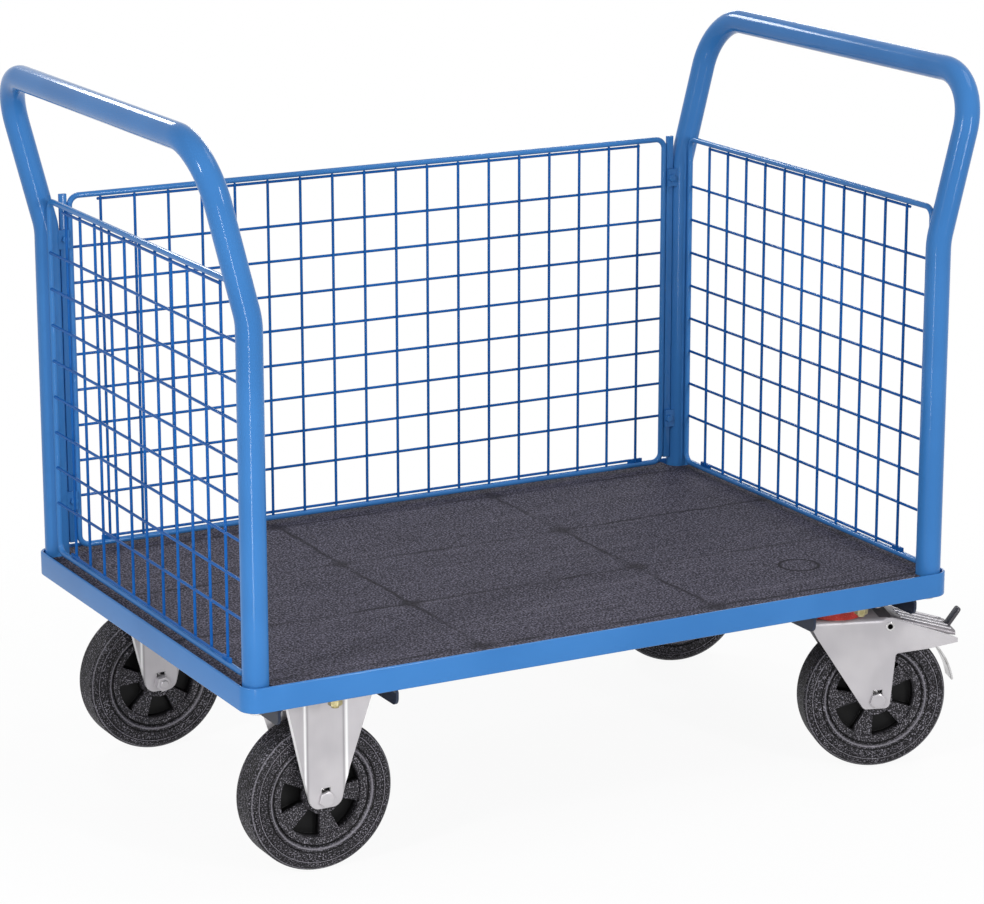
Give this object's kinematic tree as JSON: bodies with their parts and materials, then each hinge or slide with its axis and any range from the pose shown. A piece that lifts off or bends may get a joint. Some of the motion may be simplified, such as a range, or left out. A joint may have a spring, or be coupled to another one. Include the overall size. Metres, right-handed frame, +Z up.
{
  "type": "mesh trolley",
  "caption": "Platform trolley with welded mesh walls on three sides, bent tube push handles, fixed casters at one end and braked swivel casters at the other.",
  "frame": {"origin": "on the floor under the middle of the deck", "axes": "+X along the deck to the swivel casters, +Y to the mesh back wall, +Z up"},
  "size_m": [1.148, 0.7001, 0.9688],
  "materials": {
    "blue_paint": "glossy powder coat",
    "dark_paint": "satin paint",
    "deck_board": "anti-slip film",
    "zinc_steel": "bright zinc",
    "yellow_zinc": "yellow zinc",
    "bright_steel": "plain",
    "tyre_rubber": "matte",
    "rim_plastic": "matte",
    "red_seal": "matte"
  },
  "bodies": {
    "platform": {"deck_frame": "blue_paint", "deck_board": "deck_board", "left_channel": "dark_paint", "right_channel": "dark_paint", "channel_bolts": "yellow_zinc", "channel_nuts": "yellow_zinc", "left_push_bar": "blue_paint", "right_push_bar": "blue_paint", "post_plugs": "bright_steel", "post_bolts": "bright_steel", "left_border_wire": "blue_paint", "left_mesh": "blue_paint", "right_border_wire": "blue_paint", "right_mesh": "blue_paint", "back_border_wire": "blue_paint", "back_mesh": "blue_paint", "wall_strips": "blue_paint", "wall_brackets": "blue_paint", "bracket_bolts": "bright_steel", "front_fixed_fork": "zinc_steel", "back_fixed_fork": "zinc_steel", "fixed_axle_bolts": "bright_steel", "fixed_axle_nuts": "bright_steel", "fixed_axle_sleeves": "bright_steel", "front_swivel_plate": "zinc_steel", "back_swivel_plate": "zinc_steel", "swivel_seals": "red_seal", "kingpins": "bright_steel", "plate_bolts": "zinc_steel", "plate_nuts": "zinc_steel"},
    "front_fixed_wheel": {"front_fixed_tyre": "tyre_rubber", "front_fixed_rim": "rim_plastic", "front_fixed_bearing": "bright_steel"},
    "back_fixed_wheel": {"back_fixed_tyre": "tyre_rubber", "back_fixed_rim": "rim_plastic", "back_fixed_bearing": "bright_steel"},
    "front_swivel": {"front_swivel_fork": "zinc_steel", "front_swivel_balls": "bright_steel", "front_swivel_axle_bolt": "bright_steel", "front_swivel_axle_nut": "bright_steel", "front_swivel_axle_sleeve": "bright_steel", "front_brake_pin": "bright_steel"},
    "front_swivel_wheel": {"front_swivel_tyre": "tyre_rubber", "front_swivel_rim": "rim_plastic", "front_swivel_bearing": "bright_steel"},
    "front_brake": {"front_brake_pedal": "zinc_steel", "front_brake_leaf": "zinc_steel"},
    "back_swivel": {"back_swivel_fork": "zinc_steel", "back_swivel_balls": "bright_steel", "back_swivel_axle_bolt": "bright_steel", "back_swivel_axle_nut": "bright_steel", "back_swivel_axle_sleeve": "bright_steel", "back_brake_pin": "bright_steel"},
    "back_swivel_wheel": {"back_swivel_tyre": "tyre_rubber", "back_swivel_rim": "rim_plastic", "back_swivel_bearing": "bright_steel"},
    "back_brake": {"back_brake_pedal": "zinc_steel", "back_brake_leaf": "zinc_steel"}
  },
  "joints": [
    {"name": "front_fixed_wheel_spin", "type": "hinge", "parent": "platform", "child": "front_fixed_wheel", "pos_m": [-0.394, -0.262, 0.1], "axis": [0, 1, 0], "continuous": true},
    {"name": "back_fixed_wheel_spin", "type": "hinge", "parent": "platform", "child": "back_fixed_wheel", "pos_m": [-0.394, 0.262, 0.1], "axis": [0, 1, 0], "continuous": true},
    {"name": "front_swivel_turn", "type": "hinge", "parent": "platform", "child": "front_swivel", "pos_m": [0.394, -0.262, 0.217], "axis": [0, 0, 1], "continuous": true},
    {"name": "front_swivel_wheel_spin", "type": "hinge", "parent": "front_swivel", "child": "front_swivel_wheel", "pos_m": [0.446, -0.27991, 0.1], "axis": [0.3256, 0.9455, 0], "continuous": true},
    {"name": "front_brake_press", "type": "hinge", "parent": "front_swivel", "child": "front_brake", "pos_m": [0.46019, -0.28479, 0.205], "axis": [0.3256, 0.9455, 0], "range_deg": [0, 6]},
    {"name": "back_swivel_turn", "type": "hinge", "parent": "platform", "child": "back_swivel", "pos_m": [0.394, 0.262, 0.217], "axis": [0, 0, 1], "continuous": true},
    {"name": "back_swivel_wheel_spin", "type": "hinge", "parent": "back_swivel", "child": "back_swivel_wheel", "pos_m": [0.446, 0.24409, 0.1], "axis": [0.3256, 0.9455, 0], "continuous": true},
    {"name": "back_brake_press", "type": "hinge", "parent": "back_swivel", "child": "back_brake", "pos_m": [0.46019, 0.23921, 0.205], "axis": [0.3256, 0.9455, 0], "range_deg": [0, 6]}
  ]
}
